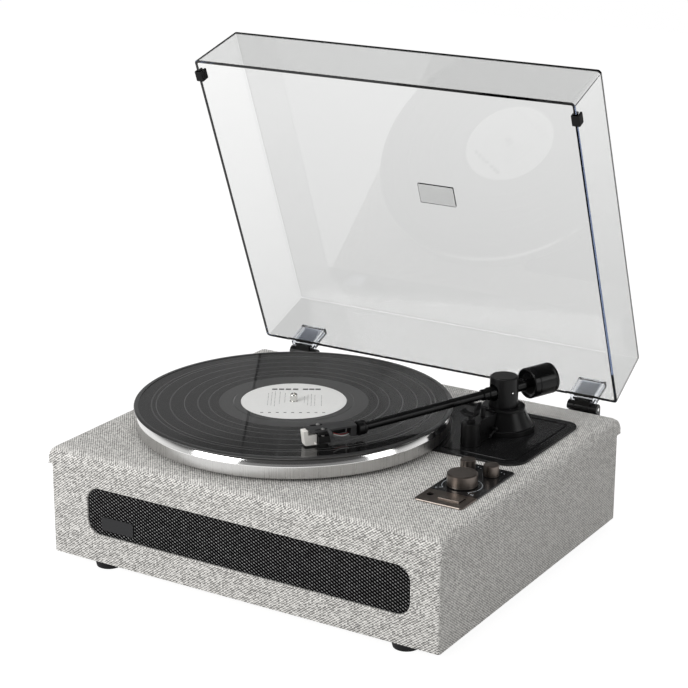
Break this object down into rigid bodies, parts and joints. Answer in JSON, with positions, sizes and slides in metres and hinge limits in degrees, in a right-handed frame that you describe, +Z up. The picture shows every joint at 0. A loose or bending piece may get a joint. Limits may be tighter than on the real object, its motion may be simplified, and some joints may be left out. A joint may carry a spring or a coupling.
{
  "type": "record player",
  "caption": "Belt-drive record player in a fabric-wrapped plinth with built-in speakers, straight tonearm, bronze knobs and a hinged clear dust cover.",
  "frame": {"origin": "on the floor, under the middle of the whole player's box with its dust cover standing open", "axes": "+Z up; +X to the right along the front, towards the controls; +Y to the back, towards the hinges"},
  "size_m": [0.418, 0.4156, 0.4556],
  "materials": {
    "fabric_board": "board wrapped in light grey woven fabric",
    "board": "plain fibreboard",
    "rubber": "matte",
    "speaker": "black cone and basket",
    "grille_cloth": "black open-weave cloth on a stiff panel",
    "black_plastic": "fine satin",
    "satin_black": "satin black paint",
    "black_tube": "black anodised",
    "weight_black": "gloss black paint",
    "gloss_black": "glossy",
    "chrome": "polished",
    "steel": "turned",
    "brass": "turned",
    "polished_aluminium": "polished and brushed round the rim",
    "circuit_board": "green lacquer",
    "felt": "black felt",
    "vinyl": "glossy with fine grooves",
    "label_paper": "smooth printed paper",
    "grey_metal": "dark satin",
    "ivory_plastic": "semi-gloss",
    "red_wire": "insulated wire",
    "white_wire": "insulated wire",
    "bronze": "brushed dark bronze",
    "clear_acrylic": "clear with polished edges"
  },
  "bodies": {
    "plinth": {"plinth_body": "fabric_board", "top_board": "fabric_board", "bottom_panel": "board", "speaker_baffle": "board", "foot_front_left": "rubber", "foot_front_right": "rubber", "foot_back_left": "rubber", "foot_back_right": "rubber", "speaker_left": "speaker", "speaker_right": "speaker", "speaker_grille": "grille_cloth", "jack_panel": "black_plastic", "rca_sockets": "chrome", "power_inlet": "black_plastic", "main_circuit_board": "circuit_board", "motor": "steel", "drive_belt": "rubber", "spindle_bearing": "brass", "arm_plate": "gloss_black", "pivot_base": "satin_black", "armrest_block": "satin_black", "rest_clip": "satin_black", "control_plate": "bronze", "control_board": "circuit_board", "headphone_jack": "black_plastic", "hinge_bracket_left": "black_plastic", "hinge_bracket_right": "black_plastic"},
    "motor_pulley": {"motor_pulley": "brass"},
    "platter": {"platter": "polished_aluminium", "spindle": "chrome", "slip_mat": "felt", "record": "vinyl", "record_label": "label_paper"},
    "arm_swivel": {"arm_housing": "satin_black"},
    "tonearm": {"arm_sleeve": "satin_black", "arm_tube": "black_tube", "headshell_collar": "black_plastic", "headshell": "grey_metal", "cartridge_body": "black_plastic", "stylus_assembly": "ivory_plastic", "lead_red": "red_wire", "lead_white": "white_wire"},
    "counterweight": {"counterweight": "weight_black", "force_dial": "black_plastic"},
    "cue_lever": {"cue_lever": "black_plastic"},
    "lift_bar": {"lift_bar": "black_plastic"},
    "knob_volume": {"knob_volume": "bronze"},
    "knob_bass": {"knob_bass": "bronze"},
    "knob_treble": {"knob_treble": "bronze"},
    "mode_key": {"mode_key": "bronze"},
    "cover": {"dust_cover": "clear_acrylic", "hinge_socket_left": "clear_acrylic", "hinge_socket_right": "clear_acrylic", "hinge_blade_left": "black_plastic", "hinge_blade_right": "black_plastic", "hinge_pin_left": "steel", "hinge_pin_right": "steel", "cover_bumper_left": "rubber", "cover_bumper_right": "rubber", "cover_tab": "clear_acrylic"}
  },
  "joints": [
    {"name": "cover_hinge", "type": "hinge", "parent": "plinth", "child": "cover", "pos_m": [0, 0.15217, 0.113], "axis": [1, 0, 0], "range_deg": [0, 68.7]},
    {"name": "platter_spin", "type": "hinge", "parent": "plinth", "child": "platter", "pos_m": [-0.047, -0.03783, 0.1185], "axis": [0, 0, 1], "continuous": true},
    {"name": "motor_pulley_spin", "type": "hinge", "parent": "plinth", "child": "motor_pulley", "pos_m": [-0.12207, 0.02516, 0.122], "axis": [0, 0, 1], "continuous": true},
    {"name": "arm_swing", "type": "hinge", "parent": "plinth", "child": "arm_swivel", "pos_m": [0.127, 0.05617, 0.1365], "axis": [0, 0, 1], "range_deg": [-21, 20.6]},
    {"name": "arm_tilt", "type": "hinge", "parent": "arm_swivel", "child": "tonearm", "pos_m": [0.127, 0.05617, 0.152], "axis": [-0.9048, 0.4258, 0], "range_deg": [0, 5]},
    {"name": "counterweight_slide", "type": "slide", "parent": "tonearm", "child": "counterweight", "axis": [-0.4255, -0.9043, -0.0349], "range_m": [-0.006, 0.003]},
    {"name": "cue_lever_turn", "type": "hinge", "parent": "plinth", "child": "cue_lever", "pos_m": [0.12455, 0.02577, 0.1236], "axis": [-0.9968, 0.0802, 0], "range_deg": [0, 60]},
    {"name": "lift_bar_rise", "type": "slide", "parent": "plinth", "child": "lift_bar", "axis": [0, 0, 1], "range_m": [0, 0.0032]},
    {"name": "volume_turn", "type": "hinge", "parent": "plinth", "child": "knob_volume", "pos_m": [0.164, -0.09233, 0.118], "axis": [0, 0, -1], "range_deg": [0, 300]},
    {"name": "bass_turn", "type": "hinge", "parent": "plinth", "child": "knob_bass", "pos_m": [0.151, -0.05783, 0.118], "axis": [0, 0, -1], "range_deg": [-150, 150]},
    {"name": "treble_turn", "type": "hinge", "parent": "plinth", "child": "knob_treble", "pos_m": [0.175, -0.05883, 0.118], "axis": [0, 0, -1], "range_deg": [-150, 150]},
    {"name": "mode_key_press", "type": "slide", "parent": "plinth", "child": "mode_key", "axis": [0, 0, -1], "range_m": [0, 0.001], "stiffness_N_per_m": 200, "springref_m": -0.001}
  ],
  "couplings": [
    {"joint": "motor_pulley_spin", "follows": "platter_spin", "ratio": 8.5738},
    {"joint": "cue_lever_turn", "follows": "arm_tilt", "ratio": 12},
    {"joint": "lift_bar_rise", "follows": "arm_tilt", "m_per_rad": 0.036}
  ]
}
